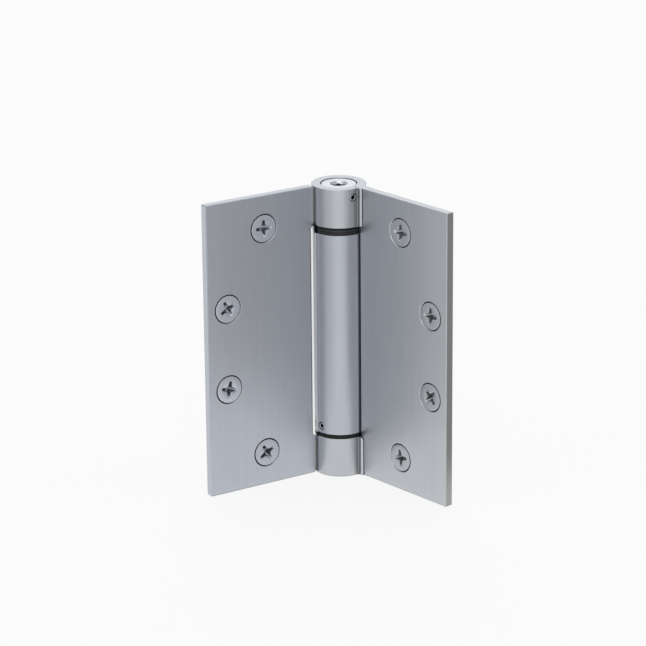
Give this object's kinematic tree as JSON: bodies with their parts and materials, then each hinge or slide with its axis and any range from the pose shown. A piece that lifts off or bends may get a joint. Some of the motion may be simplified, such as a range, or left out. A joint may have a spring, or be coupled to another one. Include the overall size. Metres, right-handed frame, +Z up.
{
  "type": "spring hinge",
  "caption": "Self-closing door hinge: countersunk steel leaves on a knuckled barrel that holds a torsion spring, wound through a hexagon socket in its top.",
  "frame": {"origin": "centre of the barrel's lower end, on the pin axis", "axes": "+Z up the pin axis; the frame leaf runs towards -X with its screw face towards -Y; the door leaf is stored opened by 100 degrees"},
  "size_m": [0.0763, 0.0666, 0.1143],
  "materials": {
    "satin_steel": "fine satin grain, dull chrome plated",
    "plug_steel": "turned steel, plated",
    "pin_steel": "rolled spring steel",
    "dark_steel": "blackened steel, lightly oiled",
    "spring_steel": "oiled square spring wire",
    "black_nylon": "black moulded nylon",
    "screw_steel": "satin plated heads"
  },
  "bodies": {
    "frame": {"frame_leaf": "satin_steel", "flanged_bush": "black_nylon", "bearing_ring": "dark_steel", "torsion_spring": "spring_steel", "anchor_plug": "plug_steel", "anchor_pin": "pin_steel", "frame_leaf_screws": "screw_steel"},
    "door": {"door_leaf": "satin_steel", "winding_plug": "plug_steel", "tension_pin": "pin_steel", "upper_washer": "black_nylon", "bottom_pivot": "plug_steel", "lower_washer": "black_nylon", "door_leaf_screws": "screw_steel"}
  },
  "joints": [
    {"name": "door_swing", "type": "hinge", "parent": "frame", "child": "door", "pos_m": [0, 0, 0], "axis": [0, 0, 1], "range_deg": [-100, 80], "stiffness_Nm_per_rad": 0.6, "deforming": ["torsion_spring"]}
  ]
}
